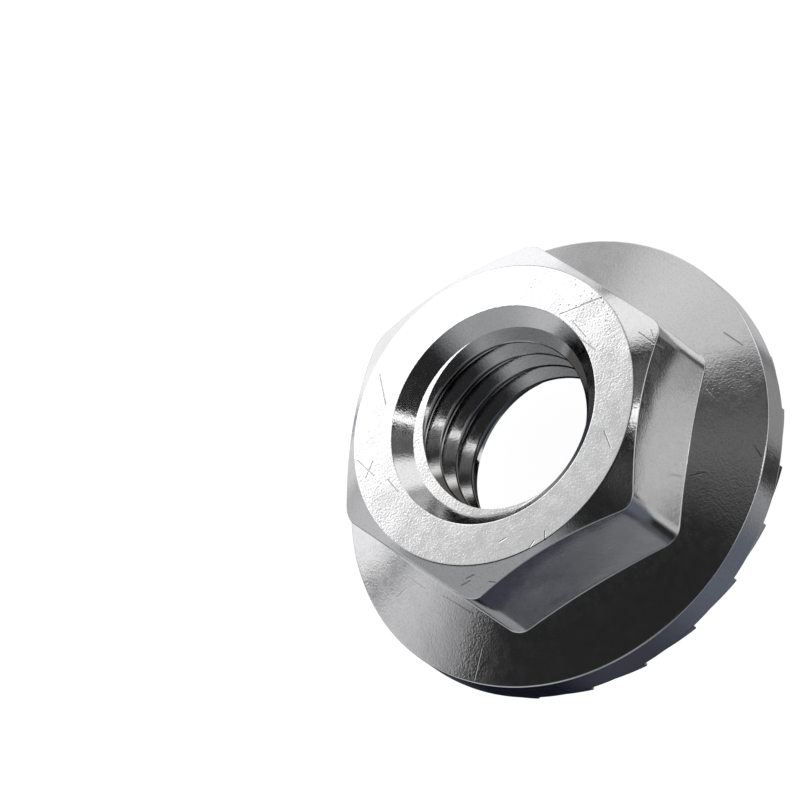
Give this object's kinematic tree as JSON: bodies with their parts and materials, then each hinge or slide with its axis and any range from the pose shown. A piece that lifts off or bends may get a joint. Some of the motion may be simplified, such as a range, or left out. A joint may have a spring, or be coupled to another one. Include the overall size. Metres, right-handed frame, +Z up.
{
  "type": "serrated flange nut",
  "caption": "Hexagon nut with a broad sloping flange, ratchet serrations under the flange and a countersunk threaded bore.",
  "frame": {"origin": "centre of the plane that the tips of the serrations touch, on the thread's axis", "axes": "+Z up the thread's axis, from the serrated bearing face to the plain top face; +X square to one of the hexagon's flats"},
  "size_m": [0.0188, 0.0188, 0.0066],
  "materials": {
    "steel": "polished bare steel with fine pits, a slight orange peel and short scratches"
  },
  "bodies": {
    "root": {"flange_nut": "steel"}
  },
  "joints": []
}
